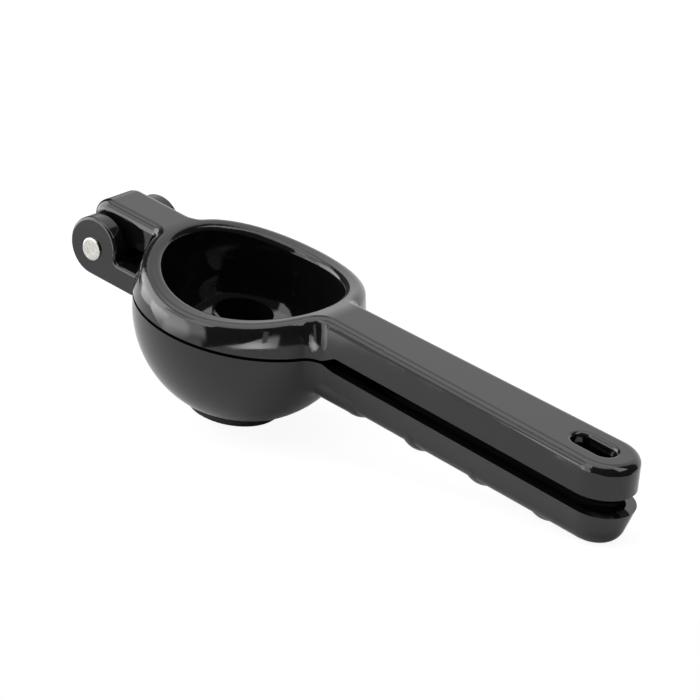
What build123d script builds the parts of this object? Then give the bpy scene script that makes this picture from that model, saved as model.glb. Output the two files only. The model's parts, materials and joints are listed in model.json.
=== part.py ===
"""Hinged citrus squeezer: a press lever and a cup lever, moulded in gloss plastic, on one steel pin.

Every solid is drawn with the levers closed: Z = 0 is the parting plane, the Z axis runs through the
cup, +X points along the handles and the pin runs along Y. The last section lays the closed squeezer
on a table, on the edge of its skirt and the last finger ridge. Lengths are in millimetres.
"""

from build123d import *
import math
import os

# Cup and press ring, one sphere outside
cup_radius = 35.0
cup_wall = 2.6
seam_gap = 1.0              # between the press ring and the rim of the cup
lever_top = 13.5            # flat top of the press lever
rim_low = 8.1               # the press rim at its lowest, at both sides of the cup
hinge_dip_overrun = 1.4     # the dip of the rim reaches this far past the mouth, at the hinge
handle_dip_overrun = 6.1    # and at the handle
run_out_round = 18.0        # where the dip runs out into the flat lever
edge_round = 2.8            # along the whole upper outline
mouth_round = 2.0
blend_round = 6.0           # between the round cup and the straight handles

# Press cup, open at the top
rim_width = 7.2             # from the mouth to the outside of the cup
dome_inset = 1.6            # the dome is this much narrower than the mouth
dome_start = -2.0           # the drafted wall turns into the dome here
dome_depth = 20.8
press_wall = 2.2
boss_radius = 9.8
boss_wall = 0.9
boss_top = -3.0
boss_depth = 18.5
boss_shift = -1.3

# Strainer floor and skirt under the cup
floor_rise = 4.6            # top of the floor over the lowest point of the cup's sphere
floor_wall = 2.4
skirt_radius = 14.2
skirt_wall = 2.4
skirt_rise = 1.0            # foot of the skirt over the same point
skirt_round = 0.5
drain_radius = 1.3
drain_rings = {0.0: 1, 4.4: 6, 8.4: 12}     # radius of the ring: number of holes

# Hinge
pin_reach = 16.0            # from the cup's outside to the pin
pin_z = 0.6
pin_radius = 3.6
pin_stand_out = 0.7         # beyond each ear
pin_edge = 0.4
pin_play = 0.06             # running clearance in the knuckle
ear_radius = 9.2
ear_rise = 0.8              # the round top of an ear is centred above the pin
ear_wall = 4.5
ear_edge = 0.9
hinge_width = 29.8          # over both ears
knuckle_radius = 6.2
knuckle_shoulder = 0.8      # the knuckle stands this far out of the tongue
knuckle_side_play = 0.3
knuckle_web_play = 0.5
ear_root_round = 1.5
web_drop = 1.5              # the web between the ears lies this far below the cup's rim
web_set_back = 3.0          # the web starts this far past the pin, clear of the turning nose
tongue_width = 16.0
tongue_past_pin = 8.0
tongue_under = 3.6
nose_radius = 5.5
tongue_root_round = 2.5

# Handles
neck_half_width = 7.6       # both half-widths of the press handle are taken at its top
end_half_width = 10.4
press_handle_end = 144.3
press_handle_under = 3.3
press_draft = 3.4           # degrees
press_handle_wall = 3.0
cup_handle_longer = 1.1
cup_handle_rim = -1.1       # rim of the cup handle, carried back to the axis of the cup
cup_handle_fall = 0.4       # degrees
cup_handle_bottom = -13.2
cup_handle_draft = 16.0     # degrees
cup_handle_wall = 3.2
keel_round = 5.0
step_past_cup = 2.0         # both handles leave the parting plane this far outside the cup
step_run = 4.5
step_round = 3.0
channel_past_cup = 8.5      # inner ends of the hollows in both handles, from the cup's outside
channel_round = 2.0

# Finger ridges under the cup handle
ridge_count = 4
ridge_past_cup = 12.3       # the first ridge, from the cup's outside
ridge_pitch = 24.1
ridge_height = 2.2
ridge_half_length = 5.3
ridge_tuck = 2.2            # a ridge is this much narrower than the handle's rim, flush with its side
neck_inset = 0.1            # the neck lies this far inside the crest of the first ridge

# Hanging slot
slot_from_end = 14.6
slot_length = 14.5
slot_width = 7.0
slot_lip = 1.4

mouth_radius = cup_radius - rim_width
dome_radius = mouth_radius - dome_inset
dip_half_length = mouth_radius + (hinge_dip_overrun + handle_dip_overrun) / 2
dip_middle = (handle_dip_overrun - hinge_dip_overrun) / 2
dip_depth = lever_top - rim_low
valley_radius = (dip_half_length**2 + dip_depth**2) / (2 * dip_depth)
floor_top = floor_rise - cup_radius
skirt_bottom = skirt_rise - cup_radius
pin_x = -cup_radius - pin_reach
tongue_nose = pin_x - tongue_past_pin
step_start = cup_radius + step_past_cup
channel_start = cup_radius + channel_past_cup
ridge_first = cup_radius + ridge_past_cup
last_ridge = ridge_first + (ridge_count - 1) * ridge_pitch
ridge_crest = cup_handle_bottom - ridge_height
crest_radius = (ridge_half_length**2 + ridge_height**2) / (2 * ridge_height)
crest_centre = ridge_crest + crest_radius
slot_centre = press_handle_end - slot_from_end
seam_top = seam_gap / 2
seam_bottom = -seam_gap / 2
flare = (end_half_width - neck_half_width) / (press_handle_end - end_half_width)
draft_gain = (lever_top - seam_top) * math.tan(math.radians(press_draft))
cup_handle_end = press_handle_end + draft_gain + cup_handle_longer
ear_inside = hinge_width / 2 - ear_wall
ear_centre = pin_z + ear_rise
yoke_bottom = ear_centre - ear_radius
far_out = 2 * press_handle_end      # past every edge that a cut runs out of


def bar_plan(neck_half, end_half, end):
    """Plan of a handle: straight flared sides from the axis of the cup to a half-round end."""
    Circle(neck_half)
    with Locations((end - end_half, 0)):
        Circle(end_half)
    make_hull()


def hollow_plan(neck_half, end_half, end, wall):
    """Plan of the hollow in a handle: the handle's own plan, less its wall, past the cup."""
    bar_plan(neck_half - wall, end_half - wall, end - wall)
    Rectangle(2 * channel_start, far_out, mode=Mode.SUBTRACT)
    fillet(vertices().group_by(Axis.X)[0], channel_round)


def step_cut(seam_height, start_height, end_height, outside_height):
    """Side view of what is cut from a handle, which leaves the parting plane in a rounded step."""
    step = FilletPolyline(
        (step_start - step_run, seam_height),
        (step_start, seam_height),
        (step_start + step_run, start_height),
        (far_out, end_height),
        radius=step_round,
    )
    outside_start = (step_start - step_run, outside_height)
    Polyline(step @ 1, (far_out, outside_height), outside_start, step @ 0)


def sphere_points(radius, low, high):
    """Three points of a circle about the origin, between two heights, for an arc."""
    return [(math.sqrt(radius**2 - z**2), z) for z in (low, (low + high) / 2, high)]


def is_steep(edge):
    """Does an edge climb over most of the height of the press lever?"""
    return abs((edge @ 0).Z - (edge @ 1).Z) > 0.8 * (lever_top - tongue_under)


def is_at_mouth(edge):
    """Is an edge between the wall of the press cup and the rim?"""
    ends = (edge @ 0, edge @ 1)
    return all(end.Z > rim_low - 0.1 and math.hypot(end.X, end.Y) < mouth_radius + 0.1 for end in ends)


# ---- Press lever ----
with BuildPart() as press_lever:
    # Ring: the sphere of the cup carried up to the top of the lever
    with BuildSketch(Plane.XZ):
        with BuildLine():
            outside = ThreePointArc(*sphere_points(cup_radius, seam_top, lever_top))
            Polyline(outside @ 1, (0, lever_top), (0, seam_top), outside @ 0)
        make_face()
    revolve(axis=Axis.Z)

    # Handle, drafted outwards towards its lower edge
    with BuildSketch(Plane.XY.offset(lever_top)):
        bar_plan(neck_half_width, end_half_width, press_handle_end)
    extrude(amount=-(lever_top - seam_top), taper=-press_draft)
    corners = edges().filter_by_position(Axis.X, 0.8 * cup_radius, 1.1 * cup_radius)
    fillet(corners.filter_by(is_steep), blend_round)

    # Tongue, with its knuckle around the pin
    with BuildSketch(Plane.XZ):
        with Locations((tongue_nose + nose_radius, lever_top - nose_radius)):
            Circle(nose_radius)
        with Locations((pin_x, pin_z)):
            Circle(knuckle_radius - knuckle_shoulder)
        make_hull()
        bar_length = -tongue_nose - nose_radius
        with Locations((tongue_nose + nose_radius, lever_top)):
            Rectangle(bar_length, lever_top - tongue_under, align=(Align.MIN, Align.MAX))
    extrude(amount=tongue_width / 2, both=True)
    tongue_roots = edges().filter_by_position(Axis.X, -cup_radius, -0.9 * cup_radius)
    fillet(tongue_roots.filter_by(is_steep), tongue_root_round)

    # Dip of the rim: a valley that crosses the ring along Y
    with BuildSketch(Plane.XZ):
        with Locations((dip_middle, rim_low + valley_radius)):
            Circle(valley_radius)
    extrude(amount=far_out, both=True, mode=Mode.SUBTRACT)
    run_outs = edges().filter_by(Axis.Y).filter_by_position(Axis.X, -cup_radius, cup_radius)
    fillet(run_outs, run_out_round)

    # Round the upper outline
    upper = edges().filter_by(lambda edge: edge.center().Z > rim_low - 1.0)
    outline = upper.filter_by(Axis.Y, reverse=True).filter_by(is_steep, reverse=True)
    fillet(outline, edge_round)

    # Knuckle between the ears
    with BuildSketch(Plane.XZ):
        with Locations((pin_x, pin_z)):
            Circle(knuckle_radius)
    extrude(amount=ear_inside - knuckle_side_play, both=True)
    with BuildSketch(Plane.XZ):
        with Locations((pin_x, pin_z)):
            Circle(pin_radius + pin_play)
    extrude(amount=far_out, both=True, mode=Mode.SUBTRACT)

    # Press cup: the dome outside, then its hollow with a drafted wall up to the mouth
    dome_outside = dome_radius + press_wall
    with BuildSketch(Plane.XZ):
        with BuildLine():
            deepest = dome_depth + press_wall
            dome = EllipticalCenterArc((0, dome_start), dome_outside, deepest, 270, arc_size=90)
            Polyline(dome @ 1, (dome_outside, seam_top), (0, seam_top), dome @ 0)
        make_face()
    revolve(axis=Axis.Z)
    with BuildSketch(Plane.XZ):
        with BuildLine():
            dome = EllipticalCenterArc((0, dome_start), dome_radius, dome_depth, 270, arc_size=90)
            wall = Line(dome @ 1, (mouth_radius, lever_top))
            Polyline(wall @ 1, (0, lever_top), dome @ 0)
        make_face()
    revolve(axis=Axis.Z, mode=Mode.SUBTRACT)
    fillet(edges().filter_by(is_at_mouth), mouth_round)

    # Tube that stands in the middle of the press cup, with a flat bottom inside
    with BuildSketch(Plane.XY.offset(boss_top)):
        with Locations((boss_shift, 0)):
            Circle(boss_radius)
    extrude(amount=dome_start - dome_depth - boss_top)
    with BuildSketch(Plane.XY.offset(boss_top)):
        with Locations((boss_shift, 0)):
            Circle(boss_radius - boss_wall)
    extrude(amount=-boss_depth, mode=Mode.SUBTRACT)

    # Underside of the handle, which is hollow up to its top
    with BuildSketch(Plane.XZ):
        with BuildLine():
            step_cut(seam_top, press_handle_under, press_handle_under, -far_out)
        make_face()
    extrude(amount=far_out, both=True, mode=Mode.SUBTRACT)
    with BuildSketch(Plane.XY.offset(lever_top - press_handle_wall)):
        hollow_plan(neck_half_width, end_half_width, press_handle_end, press_handle_wall)
    extrude(amount=-lever_top, taper=-press_draft, mode=Mode.SUBTRACT)

    # Hanging slot with a rounded lip
    with BuildSketch(Plane.XY.offset(lever_top)):
        with Locations((slot_centre, 0)):
            SlotOverall(slot_length, slot_width)
    extrude(amount=-lever_top, mode=Mode.SUBTRACT)
    handle_top = faces().filter_by(Plane.XY).group_by(Axis.Z)[-1].sort_by(Axis.X)[-1]
    fillet(handle_top.inner_wires()[0].edges(), slot_lip)


# ---- Hinge yoke of the cup lever ----
with BuildPart() as yoke:
    # Side view: round ears on an arm as deep as they are
    with BuildSketch(Plane.XZ):
        with Locations((pin_x, ear_centre)):
            Circle(ear_radius)
            Rectangle(ear_radius, ear_radius, align=(Align.MIN, Align.MAX))
        with Locations((pin_x, yoke_bottom)):
            Rectangle(-pin_x, seam_bottom - yoke_bottom, align=(Align.MIN, Align.MIN))
        ear_root = vertices().filter_by_position(Axis.Y, yoke_bottom + 1, ear_centre - 1)
        fillet(ear_root.filter_by_position(Axis.X, pin_x, pin_x + ear_radius + 1), ear_root_round)
    extrude(amount=hinge_width / 2, both=True)
    fillet(edges().filter_by(lambda edge: abs(edge.center().Y) > ear_inside), ear_edge)

    # Slot for the tongue, over a web that is hollowed for the knuckle
    with BuildSketch(Plane.XZ):
        with Locations((pin_x, pin_z)):
            Circle(knuckle_radius + knuckle_web_play)
        with Locations((pin_x + web_set_back, 0)):
            Rectangle(far_out, far_out, align=(Align.MAX, Align.CENTER))
        with Locations((pin_x, seam_bottom - web_drop)):
            Rectangle(far_out, far_out, align=(Align.MIN, Align.MIN))
    extrude(amount=ear_inside, both=True, mode=Mode.SUBTRACT)
    with BuildSketch(Plane.XZ):
        with Locations((pin_x, pin_z)):
            Circle(pin_radius)
    extrude(amount=far_out, both=True, mode=Mode.SUBTRACT)


# ---- Cup lever ----
with BuildPart() as cup_lever:
    # Handle, drafted inwards to a rounded keel
    with BuildSketch(Plane.XY.offset(seam_bottom)):
        bar_plan(neck_half_width + draft_gain, end_half_width + draft_gain, cup_handle_end)
    extrude(amount=cup_handle_bottom - seam_bottom, taper=cup_handle_draft)
    fillet(faces().sort_by(Axis.Z)[0].edges(), keel_round)

    # Cup, solid so far, with a flat under its floor
    with BuildSketch(Plane.XZ):
        with BuildLine():
            outside = ThreePointArc(*sphere_points(cup_radius, floor_top - floor_wall, seam_bottom))
            Polyline(outside @ 1, (0, seam_bottom), (0, floor_top - floor_wall), outside @ 0)
        make_face()
    revolve(axis=Axis.Z)
    fillet(edges().filter_by_position(Axis.X, 0.8 * cup_radius, 1.1 * cup_radius), blend_round)

    # Finger ridges, turned about axes along X. The first one ends the deeper neck beside the cup
    for ridge in range(ridge_count):
        ridge_x = ridge_first + ridge * ridge_pitch
        ridge_radius = neck_half_width + draft_gain + flare * ridge_x - ridge_tuck
        ridge_axis = ridge_crest + ridge_radius
        with BuildSketch(Plane.XZ):
            with BuildLine():
                crest = ThreePointArc(
                    (ridge_x - ridge_half_length, cup_handle_bottom),
                    (ridge_x, ridge_crest),
                    (ridge_x + ridge_half_length, cup_handle_bottom),
                )
                Polyline(
                    crest @ 1,
                    (ridge_x + ridge_half_length, ridge_axis),
                    (ridge_x - ridge_half_length, ridge_axis),
                    crest @ 0,
                )
            make_face()
        revolve(axis=Axis((0, 0, ridge_axis), (1, 0, 0)))
        if ridge == 0:
            with BuildSketch(Plane.YZ):
                with Locations((0, ridge_axis)):
                    Circle(ridge_radius - neck_inset)
                with Locations((0, seam_bottom)):
                    Rectangle(far_out, far_out, align=(Align.CENTER, Align.MIN), mode=Mode.SUBTRACT)
            extrude(amount=ridge_first)

    # Rim: the handle leaves the parting plane in a step and falls away towards its end
    with BuildSketch(Plane.XZ):
        rim_fall = math.tan(math.radians(cup_handle_fall))
        with BuildLine():
            step_cut(
                seam_bottom,
                cup_handle_rim - rim_fall * (step_start + step_run),
                cup_handle_rim - rim_fall * far_out,
                far_out,
            )
        make_face()
    extrude(amount=far_out, both=True, mode=Mode.SUBTRACT)

    # Skirt, yoke and the hollow of the cup
    with BuildSketch(Plane.XY.offset(skirt_bottom)):
        Circle(skirt_radius)
        Circle(skirt_radius - skirt_wall, mode=Mode.SUBTRACT)
    extrude(amount=cup_radius + skirt_bottom + floor_wall)
    skirt_foot = faces().sort_by(Axis.Z)[0]
    fillet(skirt_foot.outer_wire().edges(), skirt_round)
    add(yoke.part)
    with BuildSketch(Plane.XZ):
        with BuildLine():
            inner = ThreePointArc(*sphere_points(cup_radius - cup_wall, floor_top, 0))
            Polyline(inner @ 1, (0, 0), (0, floor_top), inner @ 0)
        make_face()
    revolve(axis=Axis.Z, mode=Mode.SUBTRACT)

    # Channel of the handle
    with BuildSketch(Plane.XY.offset(cup_handle_rim)):
        hollow_plan(neck_half_width + draft_gain, end_half_width + draft_gain, cup_handle_end,
                    cup_handle_wall)
    extrude(amount=cup_handle_bottom - cup_handle_rim + cup_handle_wall, taper=cup_handle_draft,
            mode=Mode.SUBTRACT)

    # Drain holes
    with BuildSketch(Plane.XY.offset(floor_top)):
        for ring_radius, holes in drain_rings.items():
            with PolarLocations(ring_radius, holes):
                Circle(drain_radius)
    extrude(amount=-2 * floor_wall, mode=Mode.SUBTRACT)


# ---- Hinge pin ----
with BuildPart() as hinge_pin:
    with BuildSketch(Plane.XZ):
        with Locations((pin_x, pin_z)):
            Circle(pin_radius)
    extrude(amount=hinge_width / 2 + pin_stand_out, both=True)
    fillet(edges().filter_by(GeomType.CIRCLE), pin_edge)


# ---- Lay the squeezer down, on the rounded foot of the skirt and the crest of the last ridge ----
foot_to_ridge_x = last_ridge - (skirt_radius - skirt_round)
foot_to_ridge_z = crest_centre - (skirt_bottom + skirt_round)
apart = math.hypot(foot_to_ridge_x, foot_to_ridge_z)
rise = math.atan2(foot_to_ridge_z, foot_to_ridge_x)
lean = math.degrees(rise - math.asin((crest_radius - skirt_round) / apart))
tipped = Location((0, 0, 0), (0, lean, 0))

pieces = [press_lever.part, cup_lever.part, hinge_pin.part]
leaning = Compound(pieces).moved(tipped).bounding_box()
on_table = Location((-leaning.center().X, 0, -leaning.min.Z)) * tipped
for piece in pieces:
    piece.move(on_table)
print("Lean in degrees:", round(lean, 4))
for place in ((0, 0, 0), (pin_x, 0, pin_z)):
    print("Closed at", place, "on the table at", (on_table * Location(place)).position)

os.makedirs("parts", exist_ok=True)
press_lever.part.label = "press_lever"
export_step(press_lever.part, "parts/press_lever.step")
cup_lever.part.label = "cup_lever"
export_step(cup_lever.part, "parts/cup_lever.step")
hinge_pin.part.label = "hinge_pin"
export_step(hinge_pin.part, "parts/hinge_pin.step")
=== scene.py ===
"""Hinged lemon squeezer of glossy black plastic on a white table: finishes, studio light and camera.

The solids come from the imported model. Places named "level" are in the squeezer's own axes, as it is
drawn with the parting plane level and the cup's axis at the origin; level_frame() maps them to the
table, where the squeezer lies tipped on the foot of its skirt and its last finger ridge.
"""

import json
import math

import bpy
from mathutils import Euler, Matrix, Vector

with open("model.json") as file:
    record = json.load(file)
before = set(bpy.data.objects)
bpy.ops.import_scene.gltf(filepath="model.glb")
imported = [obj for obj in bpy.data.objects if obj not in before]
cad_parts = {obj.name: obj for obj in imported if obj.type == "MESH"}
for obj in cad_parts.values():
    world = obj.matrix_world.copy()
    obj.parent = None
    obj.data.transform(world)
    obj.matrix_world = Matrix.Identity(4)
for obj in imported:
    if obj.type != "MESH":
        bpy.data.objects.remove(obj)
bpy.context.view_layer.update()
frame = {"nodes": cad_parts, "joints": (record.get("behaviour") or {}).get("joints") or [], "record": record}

MM = 0.001

# The pin's axis in level places
PIN_PLACE = Vector((-51.0, 0.0, 0.6)) * MM

# Camera, in level places
CAMERA_PLACE = (0.7401, -0.9435, 0.6028)
CAMERA_TURN = (62.624, -8.465, 40.946)      # degrees, about X, Y and Z
PICTURE_WIDTH = 700                         # pixels
FOCAL_LENGTH = 4500                         # pixels
SENSOR_WIDTH = 36.0                         # millimetres
NEAR_CLIP, FAR_CLIP = 0.05, 20.0            # metres

# Table top: its left, right, front and back edges
TABLE_LEFT, TABLE_RIGHT = -0.30, 0.145
TABLE_FRONT, TABLE_BACK = -0.12, 0.70
TABLE_TONE = (0.95, 0.95, 0.95, 1.0)
TABLE_ROUGHNESS = 0.9
TABLE_GLOW_SHARE, TABLE_GLOW = 0.85, 1.08   # share of an even glow in what the camera sees, its level

# Softboxes around the table: middle azimuth, half width, bottom and top elevation in degrees,
# how far the sides and then the lower and upper edge fade, and the brightness, where 1 is white
SOFTBOXES = {
    "left window": (-158, 32, -18, 60, 12, 15, 4.8),
    "left window sill": (-146, 24, -19, 12, 14, 14, 6.4),
    "left window middle": (-124, 28, -22, 30, 18, 11, 4.3),
    "left window edge": (-118, 29, -22, 60, 4, 11, 2.4),
    "floor past the table": (-143, 50, -40, -4, 4, 10, 1.1),
    "overhead": (0, 190, 52, 120, 1, 14, 2.5),
    "overhead left lobe": (-100, 16, 33, 64, 3, 3, 3.2),
    "overhead right lobe": (20, 18, 27, 64, 3, 3, 3.0),
    "backdrop": (103, 36, -30, 72, 7, 6, 1.1),
    "behind the hinge": (168, 50, 42, 76, 14, 10, 1.3),
}
ROOM_GLOW = 0.10                            # what the dark room sends back, added to the softboxes
SOFT_LIGHT = 0.55                           # share of all this light that matt surfaces are lit with
PLAIN_WHITE = (1.0, 1.0, 1.0, 1.0)

# Painted reflections: a bright card, a painted highlight, and a dark card, a painted dark reflection, lie
# just above the table in front of the cup, where only reflections see them and they light nothing: their
# corners, height, the ray lengths in metres between which they show, the middle and radius of the bright
# card's spot, and the brightness of that spot, of the rest of it and of the dark card
BRIGHT_CORNERS = ((0.003, -0.118), (0.029, -0.082), (0.057, -0.047), (0.150, -0.077), (0.100, -0.118))
DARK_CORNERS = ((0.071, -0.050), (0.150, -0.075), (0.150, 0.010), (0.079, 0.010))
TABLE_CARD_HEIGHT = 0.5 * MM
TABLE_CARD_REACH = (0.0895, 1.0)
CARD_SPOT = (0.050, -0.090, 0.0)
SPOT_RADIUS = 0.055
SPOT_BRIGHTNESS, PAINTED_HIGHLIGHT_CARD, PAINTED_DARK_REFLECTION_CARD = 7.5, 2.9, 0.12

# A grey card stands along the handle, in level places, and is a painted shade on the window's highlight
# along the handle's upper edge; only glossy rays within its ray lengths see it, and it lights nothing: its
# edges, its place across the squeezer, its ray lengths and its brightness
SHADE_LEFT, SHADE_RIGHT, SHADE_BOTTOM, SHADE_TOP = 0.008, 0.130, -0.003, 0.030
SHADE_PLACE = -0.050
SHADE_REACH = (0.0475, 0.0565)
PAINTED_SHADE_CARD = 1.0


def level_frame():
    """From level places to the table: turned about Y by the foot's lean, with the pin in its place."""
    foot = next(mount for mount in frame["record"]["mounts"] if mount["name"] == "foot")
    hinge = next(joint for joint in frame["joints"] if joint["name"] == "lever_hinge")
    lean = Matrix.Rotation(math.asin(-foot["axis"][0]), 4, "Y")
    return Matrix.Translation(Vector(hinge["pos_m"])) @ lean @ Matrix.Translation(-PIN_PLACE)


LEVEL = level_frame()


# ---- Node helpers ----
def link(tree, source, target):
    """Joins one output to one input."""
    tree.links.new(source, target)


def math_node(tree, operation, *values):
    """A Math node on numbers or outputs; gives its output."""
    node = tree.nodes.new("ShaderNodeMath")
    node.operation = operation
    for socket, value in zip(node.inputs, values):
        if isinstance(value, bpy.types.NodeSocket):
            link(tree, value, socket)
        else:
            socket.default_value = value
    return node.outputs["Value"]


def remap(tree, value, low, high, to_low, to_high, smooth=True):
    """A value carried from one range to another, with its ends clamped; gives the output."""
    node = tree.nodes.new("ShaderNodeMapRange")
    node.interpolation_type = "SMOOTHSTEP" if smooth else "LINEAR"
    for name, number in (("From Min", low), ("From Max", high), ("To Min", to_low), ("To Max", to_high)):
        if isinstance(number, bpy.types.NodeSocket):
            link(tree, number, node.inputs[name])
        else:
            node.inputs[name].default_value = number
    link(tree, value, node.inputs["Value"])
    return node.outputs["Result"]


def new_group(name, inputs, outputs):
    """A shader node group with named sockets; gives the group and its input and output nodes."""
    group = bpy.data.node_groups.new(name, "ShaderNodeTree")
    for socket_name, kind, default in inputs:
        socket = group.interface.new_socket(socket_name, in_out="INPUT", socket_type=kind)
        if default is not None:
            socket.default_value = default
    for socket_name, kind in outputs:
        group.interface.new_socket(socket_name, in_out="OUTPUT", socket_type=kind)
    return group, group.nodes.new("NodeGroupInput"), group.nodes.new("NodeGroupOutput")


def place_group(tree, group, **values):
    """Places a group in a tree with its own values; underscores stand for spaces in socket names."""
    node = tree.nodes.new("ShaderNodeGroup")
    node.node_tree = group
    for name, value in values.items():
        socket = node.inputs[name.replace("_", " ")]
        if isinstance(value, bpy.types.NodeSocket):
            link(tree, value, socket)
        else:
            socket.default_value = value
    return node


FLOAT, VECTOR = "NodeSocketFloat", "NodeSocketVector"


# ---- Surface effects ----
SCRATCH_TURNS = (0.35, 1.3, 2.45)           # directions of the lines, in radians
SCRATCH_TURN_X, SCRATCH_TURN_Y = 0.7, 0.4   # shares of a direction that tip it about X and Y
SCRATCH_STRETCH = (1.0, 0.035, 1.0)         # the noise is drawn out along Y into lines
SCRATCH_WIDTH = 0.006                       # how far the noise may be from its middle on a line
NOISE_MIDDLE = 0.5
PATCH_SCALE = 0.3                           # the patches' noise scale, as a share of the lines'
PATCH_LIMIT, PATCH_GAIN = 0.75, 0.4         # noise value a patch starts at, and how far Amount lowers it
PATCH_FADE = 0.08                           # and over how much more noise it comes in
HAZE_START, HAZE_FULL = 0.42, 0.68          # noise values between which the haze comes in


def make_ripple():
    """Very shallow sink and flow waves of moulded plastic, which bend reflections a little."""
    group, start, end = new_group(
        "Moulding Ripple",
        [("Vector", VECTOR, None), ("Wave Length", FLOAT, 0.02), ("Depth", FLOAT, 0.00001)],
        [("Height", FLOAT)],
    )
    waves = group.nodes.new("ShaderNodeTexNoise")
    waves.inputs["Detail"].default_value = 1.0
    link(group, start.outputs["Vector"], waves.inputs["Vector"])
    link(group, math_node(group, "DIVIDE", 1.0, start.outputs["Wave Length"]), waves.inputs["Scale"])
    height = math_node(group, "MULTIPLY", waves.outputs["Fac"], start.outputs["Depth"])
    link(group, height, end.inputs["Height"])
    return group


def make_hairlines():
    """Fine scratches: thin lines in a few directions, broken up into patches; gives a mask."""
    group, start, end = new_group(
        "Hairlines",
        [("Vector", VECTOR, None), ("Spacing", FLOAT, 0.004), ("Amount", FLOAT, 0.3)],
        [("Mask", FLOAT)],
    )
    lines = None
    for turn in SCRATCH_TURNS:
        mapping = group.nodes.new("ShaderNodeMapping")
        mapping.inputs["Rotation"].default_value = (turn * SCRATCH_TURN_X, turn * SCRATCH_TURN_Y, turn)
        mapping.inputs["Scale"].default_value = SCRATCH_STRETCH
        link(group, start.outputs["Vector"], mapping.inputs["Vector"])
        noise = group.nodes.new("ShaderNodeTexNoise")
        noise.inputs["Detail"].default_value = 2.0
        link(group, mapping.outputs["Vector"], noise.inputs["Vector"])
        link(group, math_node(group, "DIVIDE", 1.0, start.outputs["Spacing"]), noise.inputs["Scale"])
        off_middle = math_node(group, "SUBTRACT", noise.outputs["Fac"], NOISE_MIDDLE)
        line = remap(group, math_node(group, "ABSOLUTE", off_middle), 0.0, SCRATCH_WIDTH, 1.0, 0.0)
        lines = line if lines is None else math_node(group, "MAXIMUM", lines, line)
    patches = group.nodes.new("ShaderNodeTexNoise")
    patches.inputs["Detail"].default_value = 3.0
    link(group, start.outputs["Vector"], patches.inputs["Vector"])
    scale = math_node(group, "DIVIDE", PATCH_SCALE, start.outputs["Spacing"])
    link(group, scale, patches.inputs["Scale"])
    gain = math_node(group, "MULTIPLY", start.outputs["Amount"], PATCH_GAIN)
    limit = math_node(group, "SUBTRACT", PATCH_LIMIT, gain)
    full = math_node(group, "ADD", limit, PATCH_FADE)
    patch = remap(group, patches.outputs["Fac"], limit, full, 0.0, 1.0)
    link(group, math_node(group, "MULTIPLY", lines, patch), end.inputs["Mask"])
    return group


def make_haze():
    """Cloudy patches where a surface has been handled and wiped; gives a mask."""
    group, start, end = new_group(
        "Handling Haze",
        [("Vector", VECTOR, None), ("Patch Size", FLOAT, 0.02)],
        [("Mask", FLOAT)],
    )
    clouds = group.nodes.new("ShaderNodeTexNoise")
    clouds.inputs["Detail"].default_value = 5.0
    clouds.inputs["Distortion"].default_value = 0.6
    link(group, start.outputs["Vector"], clouds.inputs["Vector"])
    link(group, math_node(group, "DIVIDE", 1.0, start.outputs["Patch Size"]), clouds.inputs["Scale"])
    mask = remap(group, clouds.outputs["Fac"], HAZE_START, HAZE_FULL, 0.0, 1.0)
    link(group, mask, end.inputs["Mask"])
    return group


RIPPLE = make_ripple()
HAIRLINES = make_hairlines()
HAZE = make_haze()


# ---- Materials ----
BLACK_PLASTIC = (0.0035, 0.0035, 0.0037, 1.0)
PLASTIC_IOR = 1.5
PLASTIC_ROUGHNESS, PLASTIC_SCUFFING = 0.055, 0.10   # where it is clean, and what a scratch adds
PRESS_HAZE, CUP_HAZE = 0.05, 0.06                   # roughness that full haze adds
RIPPLE_DEPTH = 0.02 * MM
BRIGHT_STEEL = (0.47, 0.46, 0.43, 1.0)
SCRATCHED_STEEL = (0.12, 0.11, 0.10, 1.0)
STEEL_ROUGHNESS, STEEL_HAZE = 0.14, 0.10
STEEL_SCRATCH_DEPTH = 0.01 * MM


def new_material(name):
    """A plain node material; gives it, its tree, its shader and its object coordinates."""
    material = bpy.data.materials.new(name)
    material.use_nodes = True
    tree = material.node_tree
    shader = tree.nodes["Principled BSDF"]
    coordinates = tree.nodes.new("ShaderNodeTexCoord").outputs["Object"]
    return material, tree, shader, coordinates


def add_bump(tree, shader, height):
    """Feeds a height in metres to the shader's normal."""
    bump = tree.nodes.new("ShaderNodeBump")
    bump.inputs["Strength"].default_value = 1.0
    bump.inputs["Distance"].default_value = 1.0
    link(tree, height, bump.inputs["Height"])
    link(tree, bump.outputs["Normal"], shader.inputs["Normal"])


def gloss_plastic(name, haze_roughness):
    """Glossy black moulded plastic, a little hazy where it has been handled."""
    material, tree, shader, place = new_material(name)
    shader.inputs["Base Color"].default_value = BLACK_PLASTIC
    shader.inputs["IOR"].default_value = PLASTIC_IOR
    haze = place_group(tree, HAZE, Vector=place, Patch_Size=18 * MM).outputs["Mask"]
    scratches = place_group(tree, HAIRLINES, Vector=place, Spacing=6 * MM, Amount=0.35).outputs["Mask"]
    polished = math_node(tree, "MULTIPLY_ADD", haze, haze_roughness, PLASTIC_ROUGHNESS)
    scuffed = math_node(tree, "MULTIPLY_ADD", scratches, PLASTIC_SCUFFING, polished)
    link(tree, scuffed, shader.inputs["Roughness"])
    waves = place_group(tree, RIPPLE, Vector=place, Wave_Length=16 * MM, Depth=RIPPLE_DEPTH)
    add_bump(tree, shader, waves.outputs["Height"])
    return material


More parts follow.
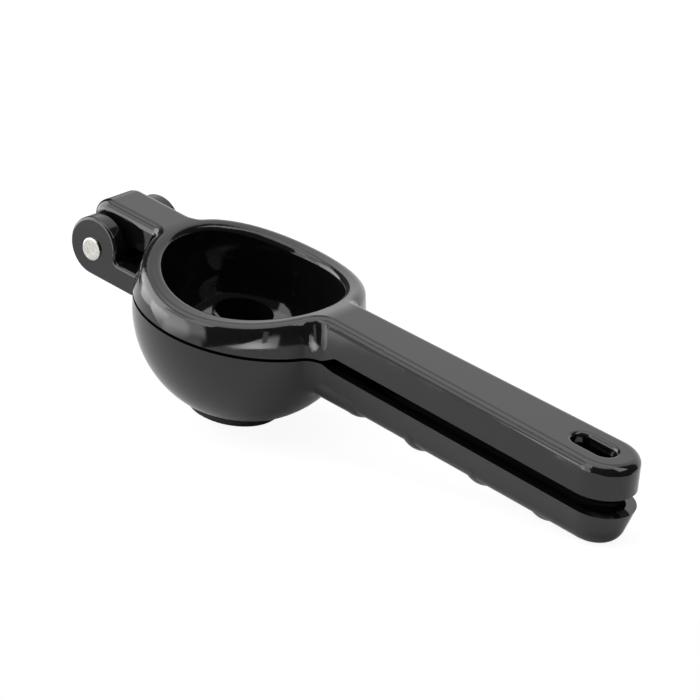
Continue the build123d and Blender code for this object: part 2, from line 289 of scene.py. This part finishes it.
def satin_steel(name):
    """Plain steel with a turned, satin face and a few handling scratches."""
    material, tree, shader, place = new_material(name)
    shader.inputs["Metallic"].default_value = 1.0
    scratches = place_group(tree, HAIRLINES, Vector=place, Spacing=3.5 * MM, Amount=0.9).outputs["Mask"]
    haze = place_group(tree, HAZE, Vector=place, Patch_Size=2.2 * MM).outputs["Mask"]
    tone = tree.nodes.new("ShaderNodeMix")
    tone.data_type = "RGBA"
    tone.inputs["A"].default_value = BRIGHT_STEEL
    tone.inputs["B"].default_value = SCRATCHED_STEEL
    link(tree, scratches, tone.inputs["Factor"])
    link(tree, tone.outputs["Result"], shader.inputs["Base Color"])
    satin = math_node(tree, "MULTIPLY_ADD", haze, STEEL_HAZE, STEEL_ROUGHNESS)
    link(tree, satin, shader.inputs["Roughness"])
    add_bump(tree, shader, math_node(tree, "MULTIPLY", scratches, -STEEL_SCRATCH_DEPTH))
    return material


def dress(node, material):
    """Gives every slot of a node's mesh one material."""
    mesh = frame["nodes"][node].data
    if not mesh.materials:
        mesh.materials.append(material)
    for index in range(len(mesh.materials)):
        mesh.materials[index] = material


# ---- Studio ----
def make_softbox():
    """A lit rectangle of the surroundings, in azimuth and elevation; gives its brightness."""
    group, start, end = new_group(
        "Softbox",
        [("Direction", VECTOR, None), ("Azimuth", FLOAT, 0.0), ("Half Width", FLOAT, 30.0),
         ("Bottom", FLOAT, 0.0), ("Top", FLOAT, 45.0), ("Side Fade", FLOAT, 5.0),
         ("Height Fade", FLOAT, 5.0), ("Brightness", FLOAT, 1.0)],
        [("Brightness", FLOAT)],
    )
    degree = math.radians(1.0)
    turn = group.nodes.new("ShaderNodeVectorRotate")
    turn.rotation_type = "Z_AXIS"
    link(group, start.outputs["Direction"], turn.inputs["Vector"])
    link(group, math_node(group, "MULTIPLY", start.outputs["Azimuth"], -degree), turn.inputs["Angle"])
    split = group.nodes.new("ShaderNodeSeparateXYZ")
    link(group, turn.outputs["Vector"], split.inputs["Vector"])
    off_middle = math_node(group, "ABSOLUTE",
                           math_node(group, "ARCTAN2", split.outputs["Y"], split.outputs["X"]))
    sideways = math_node(group, "DIVIDE", off_middle, degree)
    height = math_node(group, "DIVIDE", math_node(group, "ARCSINE", split.outputs["Z"]), degree)
    fade = start.outputs["Height Fade"]
    inner = math_node(group, "SUBTRACT", start.outputs["Half Width"], start.outputs["Side Fade"])
    across = remap(group, sideways, inner, start.outputs["Half Width"], 1.0, 0.0)
    over = math_node(group, "ADD", start.outputs["Bottom"], fade)
    above = remap(group, height, start.outputs["Bottom"], over, 0.0, 1.0)
    under = math_node(group, "SUBTRACT", start.outputs["Top"], fade)
    below = remap(group, height, under, start.outputs["Top"], 1.0, 0.0)
    lit = math_node(group, "MULTIPLY", math_node(group, "MULTIPLY", across, above), below)
    link(group, math_node(group, "MULTIPLY", lit, start.outputs["Brightness"]), end.inputs["Brightness"])
    return group


def light_studio():
    """A dark room with softboxes, which the camera itself sees as plain white."""
    world = bpy.data.worlds.new("Studio")
    bpy.context.scene.world = world
    world.use_nodes = True
    tree = world.node_tree
    direction = tree.nodes.new("ShaderNodeTexCoord").outputs["Generated"]
    softbox = make_softbox()
    total = None
    for name, (azimuth, half_width, bottom, top, sides, heights, brightness) in SOFTBOXES.items():
        node = place_group(tree, softbox, Direction=direction, Azimuth=azimuth, Half_Width=half_width,
                           Bottom=bottom, Top=top, Side_Fade=sides, Height_Fade=heights,
                           Brightness=brightness)
        node.label = name
        lit = node.outputs["Brightness"]
        total = lit if total is None else math_node(tree, "MAXIMUM", total, lit)
    total = math_node(tree, "ADD", total, ROOM_GLOW)
    rays = tree.nodes.new("ShaderNodeLightPath")
    soft = remap(tree, rays.outputs["Is Diffuse Ray"], 0.0, 1.0, 1.0, SOFT_LIGHT, smooth=False)
    lit = math_node(tree, "MULTIPLY", total, soft)
    shown = remap(tree, rays.outputs["Is Camera Ray"], 0.0, 1.0, lit, 1.0, smooth=False)
    background = tree.nodes["Background"]
    background.inputs["Color"].default_value = PLAIN_WHITE
    link(tree, shown, background.inputs["Strength"])


def flat_sheet(name, corners):
    """A new object with one face between the corners."""
    mesh = bpy.data.meshes.new(name)
    mesh.from_pydata(corners, [], [tuple(range(len(corners)))])
    sheet = bpy.data.objects.new(name, mesh)
    bpy.context.scene.collection.objects.link(sheet)
    return sheet


def lay_table():
    """A small white table top. The camera sees it nearly as white as the room behind, with a shadow."""
    corners = [(TABLE_LEFT, TABLE_FRONT, 0.0), (TABLE_RIGHT, TABLE_FRONT, 0.0),
               (TABLE_RIGHT, TABLE_BACK, 0.0), (TABLE_LEFT, TABLE_BACK, 0.0)]
    table = flat_sheet("table", corners)
    material, tree, shader, _ = new_material("table_white")
    shader.inputs["Base Color"].default_value = TABLE_TONE
    shader.inputs["Roughness"].default_value = TABLE_ROUGHNESS
    shader.inputs["Specular IOR Level"].default_value = 0.0
    glow = tree.nodes.new("ShaderNodeEmission")
    glow.inputs["Strength"].default_value = TABLE_GLOW
    rays = tree.nodes.new("ShaderNodeLightPath")
    share = math_node(tree, "MULTIPLY", rays.outputs["Is Camera Ray"], TABLE_GLOW_SHARE)
    mix = tree.nodes.new("ShaderNodeMixShader")
    link(tree, share, mix.inputs["Fac"])
    link(tree, shader.outputs["BSDF"], mix.inputs[1])
    link(tree, glow.outputs["Emission"], mix.inputs[2])
    link(tree, mix.outputs["Shader"], tree.nodes["Material Output"].inputs["Surface"])
    table.data.materials.append(material)


def add_card(name, corners, reach, spot_brightness, brightness):
    """A card of painted reflection, which glows only for glossy rays of a length within its reach and lights
    nothing, with its own level at the spot.
    """
    card = flat_sheet(name, corners)
    material, tree, shader, place = new_material(name)
    tree.nodes.remove(shader)
    from_spot = tree.nodes.new("ShaderNodeVectorMath")
    from_spot.operation = "DISTANCE"
    from_spot.inputs[1].default_value = CARD_SPOT
    link(tree, place, from_spot.inputs[0])
    clear = tree.nodes.new("ShaderNodeBsdfTransparent")
    glow = tree.nodes.new("ShaderNodeEmission")
    strength = remap(tree, from_spot.outputs["Value"], 0.0, SPOT_RADIUS, spot_brightness, brightness)
    link(tree, strength, glow.inputs["Strength"])
    rays = tree.nodes.new("ShaderNodeLightPath")
    mix = tree.nodes.new("ShaderNodeMixShader")
    far = math_node(tree, "GREATER_THAN", rays.outputs["Ray Length"], reach[0])
    near = math_node(tree, "LESS_THAN", rays.outputs["Ray Length"], reach[1])
    within = math_node(tree, "MULTIPLY", far, near)
    link(tree, math_node(tree, "MULTIPLY", within, rays.outputs["Is Glossy Ray"]), mix.inputs["Fac"])
    link(tree, clear.outputs["BSDF"], mix.inputs[1])
    link(tree, glow.outputs["Emission"], mix.inputs[2])
    link(tree, mix.outputs["Shader"], tree.nodes["Material Output"].inputs["Surface"])
    card.data.materials.append(material)


def set_cards():
    """Cards of painted reflection: two on the table, a painted highlight and a painted dark reflection, and
    one standing along the handle, a painted shade on its edge highlight.
    """
    # The bright card is a painted highlight and the dark card a painted dark reflection, seen only in the
    # plastic's gloss
    for name, corners, spot_brightness, brightness in (
        ("painted_highlight_card", BRIGHT_CORNERS, SPOT_BRIGHTNESS, PAINTED_HIGHLIGHT_CARD),
        ("painted_dark_reflection_card", DARK_CORNERS, PAINTED_DARK_REFLECTION_CARD, PAINTED_DARK_REFLECTION_CARD),
    ):
        flat = [(x, y, TABLE_CARD_HEIGHT) for x, y in corners]
        add_card(name, flat, TABLE_CARD_REACH, spot_brightness, brightness)
    # The standing card is a painted shade on the handle's edge highlight, seen only in its gloss
    outline = ((SHADE_LEFT, SHADE_BOTTOM), (SHADE_RIGHT, SHADE_BOTTOM),
               (SHADE_RIGHT, SHADE_TOP), (SHADE_LEFT, SHADE_TOP))
    standing = [LEVEL @ Vector((x, SHADE_PLACE, z)) for x, z in outline]
    add_card("painted_shade_card", standing, SHADE_REACH, PAINTED_SHADE_CARD, PAINTED_SHADE_CARD)


def set_camera():
    """The camera, placed and turned in level places."""
    data = bpy.data.cameras.new("camera")
    data.sensor_width = SENSOR_WIDTH
    data.lens = FOCAL_LENGTH * SENSOR_WIDTH / PICTURE_WIDTH
    data.clip_start, data.clip_end = NEAR_CLIP, FAR_CLIP
    camera = bpy.data.objects.new("camera", data)
    bpy.context.scene.collection.objects.link(camera)
    turn = Euler([math.radians(angle) for angle in CAMERA_TURN], "XYZ").to_matrix().to_4x4()
    camera.matrix_world = LEVEL @ Matrix.Translation(CAMERA_PLACE) @ turn
    bpy.context.scene.camera = camera


dress("press_lever", gloss_plastic("press_plastic", PRESS_HAZE))
dress("cup_lever", gloss_plastic("cup_plastic", CUP_HAZE))
dress("hinge_pin", satin_steel("pin_steel"))
light_studio()
lay_table()
set_cards()
set_camera()
bpy.context.scene.view_settings.view_transform = "Standard"
